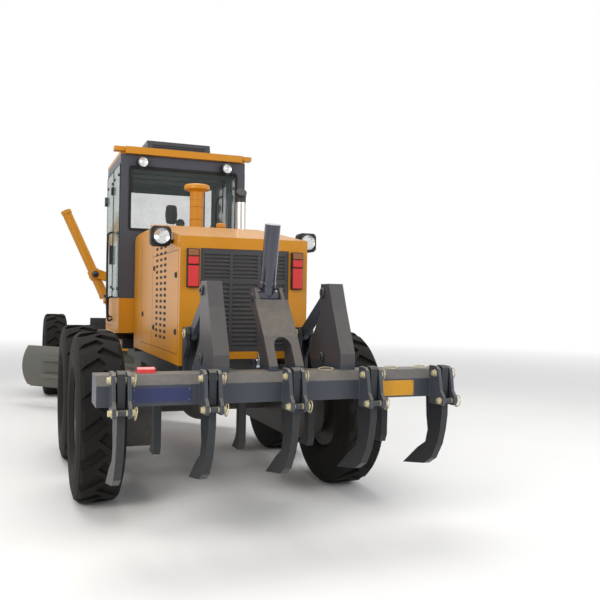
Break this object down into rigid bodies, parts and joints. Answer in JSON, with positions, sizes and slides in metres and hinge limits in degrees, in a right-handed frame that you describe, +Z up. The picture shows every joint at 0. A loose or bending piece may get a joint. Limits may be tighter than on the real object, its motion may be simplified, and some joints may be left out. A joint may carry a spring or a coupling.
{
  "type": "motor grader",
  "caption": "Motor grader with an articulated frame, an enclosed cab, an angled blade on a turning circle and a raised rear ripper, for cutting and levelling ground.",
  "frame": {"origin": "on the ground under the middle of the machine's bounding box, blade and ripper included", "axes": "+X forward, +Y to the machine's left, +Z up"},
  "size_m": [9.21, 2.6819, 3.2],
  "materials": {
    "machine_yellow": "satin",
    "ripper_grey": "satin",
    "cab_charcoal": "satin",
    "tyre_rubber": "matte",
    "rim_black": "satin",
    "window_glass": "gloss",
    "rod_chrome": "polished",
    "worn_steel": "worn",
    "seat_cloth": "woven",
    "black_plastic": "matte",
    "lamp_red": "gloss",
    "engine_grey": "painted",
    "stack_chrome": "polished"
  },
  "bodies": {
    "rear_body": {"rear_frame": "cab_charcoal", "engine_block": "engine_grey", "hood": "machine_yellow", "rear_grille": "cab_charcoal", "lamps": "lamp_red", "air_precleaner": "machine_yellow", "exhaust_stack": "stack_chrome", "rear_axle": "cab_charcoal", "tandem_cases": "cab_charcoal", "cab_shell": "cab_charcoal", "cab_roof": "machine_yellow", "cab_glass": "window_glass", "driver_seat": "seat_cloth", "steering_console": "black_plastic", "access_steps": "cab_charcoal", "ripper_bracket": "cab_charcoal", "articulation_barrels": "machine_yellow"},
    "door_left_body": {"door_left": "cab_charcoal", "door_left_glass": "window_glass"},
    "door_right_body": {"door_right": "cab_charcoal", "door_right_glass": "window_glass"},
    "front_body": {"front_frame": "machine_yellow", "nose_plate": "cab_charcoal", "saddle": "machine_yellow", "front_axle": "machine_yellow"},
    "lean_left_body": {"lean_bracket_left": "machine_yellow"},
    "lean_right_body": {"lean_bracket_right": "machine_yellow"},
    "knuckle_left_body": {"knuckle_left": "cab_charcoal"},
    "knuckle_right_body": {"knuckle_right": "cab_charcoal"},
    "tie_swivel_body": {"tie_swivel": "cab_charcoal"},
    "tie_rod_body": {"tie_rod": "cab_charcoal"},
    "lean_bar_body": {"lean_bar": "machine_yellow"},
    "articulation_rod_left_body": {"articulation_rod_left": "rod_chrome"},
    "articulation_rod_right_body": {"articulation_rod_right": "rod_chrome"},
    "drawbar_body": {"drawbar": "machine_yellow"},
    "circle_body": {"blade_circle": "worn_steel"},
    "blade_body": {"moldboard": "worn_steel", "cutting_edge": "worn_steel"},
    "lift_barrel_left_body": {"lift_barrel_left": "machine_yellow"},
    "lift_barrel_right_body": {"lift_barrel_right": "machine_yellow"},
    "lift_rod_left_body": {"lift_rod_left": "rod_chrome"},
    "lift_rod_right_body": {"lift_rod_right": "rod_chrome"},
    "ripper_lower_link_body": {"ripper_lower_link": "machine_yellow"},
    "ripper_upper_link_body": {"ripper_upper_link": "machine_yellow"},
    "ripper_body": {"ripper_beam": "ripper_grey", "ripper_shanks": "ripper_grey"},
    "ripper_barrel_body": {"ripper_barrel": "ripper_grey"},
    "ripper_rod_body": {"ripper_rod": "rod_chrome"},
    "wheel_left_rear_body": {"tyre_left_rear": "tyre_rubber", "rim_left_rear": "rim_black"},
    "wheel_left_mid_body": {"tyre_left_mid": "tyre_rubber", "rim_left_mid": "rim_black"},
    "wheel_left_front_body": {"tyre_left_front": "tyre_rubber", "rim_left_front": "rim_black"},
    "wheel_right_rear_body": {"tyre_right_rear": "tyre_rubber", "rim_right_rear": "rim_black"},
    "wheel_right_mid_body": {"tyre_right_mid": "tyre_rubber", "rim_right_mid": "rim_black"},
    "wheel_right_front_body": {"tyre_right_front": "tyre_rubber", "rim_right_front": "rim_black"}
  },
  "joints": [
    {"name": "wheel_left_rear_spin", "type": "hinge", "parent": "rear_body", "child": "wheel_left_rear_body", "pos_m": [-2.859, 0.852, 0.64], "axis": [0, 1, 0], "continuous": true},
    {"name": "wheel_left_mid_spin", "type": "hinge", "parent": "rear_body", "child": "wheel_left_mid_body", "pos_m": [-1.321, 0.852, 0.64], "axis": [0, 1, 0], "continuous": true},
    {"name": "wheel_left_front_spin", "type": "hinge", "parent": "knuckle_left_body", "child": "wheel_left_front_body", "pos_m": [3.69, 0.852, 0.64], "axis": [0, 1, 0], "continuous": true},
    {"name": "wheel_right_rear_spin", "type": "hinge", "parent": "rear_body", "child": "wheel_right_rear_body", "pos_m": [-2.859, -1.168, 0.64], "axis": [0, 1, 0], "continuous": true},
    {"name": "wheel_right_mid_spin", "type": "hinge", "parent": "rear_body", "child": "wheel_right_mid_body", "pos_m": [-1.321, -1.168, 0.64], "axis": [0, 1, 0], "continuous": true},
    {"name": "wheel_right_front_spin", "type": "hinge", "parent": "knuckle_right_body", "child": "wheel_right_front_body", "pos_m": [3.69, -1.168, 0.64], "axis": [0, 1, 0], "continuous": true},
    {"name": "articulation", "type": "hinge", "parent": "rear_body", "child": "front_body", "pos_m": [0.24, -0.158, 1.025], "axis": [0, 0, 1], "range_deg": [-27, 27]},
    {"name": "articulation_left_ram", "type": "slide", "parent": "rear_body", "child": "articulation_rod_left_body", "axis": [1, 0, 0], "range_m": [-0.213, 0.213]},
    {"name": "articulation_right_ram", "type": "slide", "parent": "rear_body", "child": "articulation_rod_right_body", "axis": [1, 0, 0], "range_m": [-0.213, 0.213]},
    {"name": "wheel_lean", "type": "hinge", "parent": "front_body", "child": "lean_left_body", "pos_m": [3.69, 0.542, 0.56], "axis": [1, 0, 0], "range_deg": [-17, 17]},
    {"name": "wheel_lean_right", "type": "hinge", "parent": "front_body", "child": "lean_right_body", "pos_m": [3.69, -0.858, 0.56], "axis": [1, 0, 0], "range_deg": [-17, 17]},
    {"name": "lean_bar_pivot", "type": "hinge", "parent": "lean_left_body", "child": "lean_bar_body", "pos_m": [3.69, 0.542, 0.86], "axis": [1, 0, 0], "range_deg": [-17, 17]},
    {"name": "steering", "type": "hinge", "parent": "lean_left_body", "child": "knuckle_left_body", "pos_m": [3.69, 0.622, 0.64], "axis": [0, 0, 1], "range_deg": [-49, 49]},
    {"name": "steering_right", "type": "hinge", "parent": "lean_right_body", "child": "knuckle_right_body", "pos_m": [3.69, -0.938, 0.64], "axis": [0, 0, 1], "range_deg": [-49, 49]},
    {"name": "tie_swivel_turn", "type": "hinge", "parent": "knuckle_left_body", "child": "tie_swivel_body", "pos_m": [3.49, 0.622, 0.418], "axis": [0, 0, 1], "range_deg": [-49, 49]},
    {"name": "tie_rod_tilt", "type": "hinge", "parent": "tie_swivel_body", "child": "tie_rod_body", "pos_m": [3.49, 0.622, 0.418], "axis": [1, 0, 0], "range_deg": [-17, 17]},
    {"name": "drawbar_lift", "type": "hinge", "parent": "front_body", "child": "drawbar_body", "pos_m": [3.26, -0.158, 1.03], "axis": [0, 1, 0], "range_deg": [-21.5, 3]},
    {"name": "circle_turn", "type": "hinge", "parent": "drawbar_body", "child": "circle_body", "pos_m": [1.36, -0.158, 0.965], "axis": [0, 0, 1], "continuous": true},
    {"name": "blade_shift", "type": "slide", "parent": "circle_body", "child": "blade_body", "axis": [-0.766, -0.6428, 0], "range_m": [-0.4, 0.4]},
    {"name": "lift_left_swing", "type": "hinge", "parent": "front_body", "child": "lift_barrel_left_body", "pos_m": [1.26, 0.482, 1.85], "axis": [1, 0, 0], "range_deg": [-1.8, 12.9]},
    {"name": "lift_left_ram", "type": "slide", "parent": "lift_barrel_left_body", "child": "lift_rod_left_body", "axis": [0, -0.4175, -0.9087], "range_m": [-0.0979, 0.7017]},
    {"name": "lift_right_swing", "type": "hinge", "parent": "front_body", "child": "lift_barrel_right_body", "pos_m": [1.26, -0.798, 1.85], "axis": [1, 0, 0], "range_deg": [-12.9, 1.8]},
    {"name": "lift_right_ram", "type": "slide", "parent": "lift_barrel_right_body", "child": "lift_rod_right_body", "axis": [0, 0.4175, -0.9087], "range_m": [-0.0979, 0.7017]},
    {"name": "ripper_lift", "type": "hinge", "parent": "rear_body", "child": "ripper_lower_link_body", "pos_m": [-3.59, -0.158, 0.86], "axis": [0, 1, 0], "range_deg": [-75, 7]},
    {"name": "ripper_upper_pivot", "type": "hinge", "parent": "rear_body", "child": "ripper_upper_link_body", "pos_m": [-3.59, -0.158, 1.3], "axis": [0, 1, 0], "range_deg": [-75, 7]},
    {"name": "ripper_level", "type": "hinge", "parent": "ripper_lower_link_body", "child": "ripper_body", "pos_m": [-4.06, -0.158, 1.16], "axis": [0, 1, 0], "range_deg": [-7, 75]},
    {"name": "ripper_barrel_swing", "type": "hinge", "parent": "ripper_body", "child": "ripper_barrel_body", "pos_m": [-3.95, -0.158, 1.56], "axis": [0, 1, 0], "range_deg": [-0.84, 9]},
    {"name": "ripper_ram", "type": "slide", "parent": "ripper_barrel_body", "child": "ripper_rod_body", "axis": [0.2219, 0, -0.9751], "range_m": [-0.2605, 0.0243]},
    {"name": "door_left_hinge", "type": "hinge", "parent": "rear_body", "child": "door_left_body", "pos_m": [-0.135, 0.5, 2], "axis": [0, 0, -1], "range_deg": [0, 85]},
    {"name": "door_right_hinge", "type": "hinge", "parent": "rear_body", "child": "door_right_body", "pos_m": [-0.135, -0.816, 2], "axis": [0, 0, 1], "range_deg": [0, 85]}
  ],
  "couplings": [
    {"joint": "articulation_left_ram", "follows": "articulation", "m_per_rad": -0.452},
    {"joint": "articulation_right_ram", "follows": "articulation", "m_per_rad": 0.452},
    {"joint": "wheel_lean_right", "follows": "wheel_lean", "ratio": 1},
    {"joint": "lean_bar_pivot", "follows": "wheel_lean", "ratio": -1},
    {"joint": "steering_right", "follows": "steering", "ratio": 1},
    {"joint": "tie_swivel_turn", "follows": "steering", "ratio": -1},
    {"joint": "tie_rod_tilt", "follows": "wheel_lean", "ratio": -1},
    {"joint": "lift_left_swing", "follows": "drawbar_lift", "ratio": -0.6},
    {"joint": "lift_left_ram", "follows": "drawbar_lift", "m_per_rad": -1.87},
    {"joint": "lift_right_swing", "follows": "drawbar_lift", "ratio": 0.6},
    {"joint": "lift_right_ram", "follows": "drawbar_lift", "m_per_rad": -1.87},
    {"joint": "ripper_upper_pivot", "follows": "ripper_lift", "ratio": 1},
    {"joint": "ripper_level", "follows": "ripper_lift", "ratio": -1},
    {"joint": "ripper_barrel_swing", "follows": "ripper_lift", "ratio": -0.12},
    {"joint": "ripper_ram", "follows": "ripper_lift", "m_per_rad": 0.199}
  ]
}
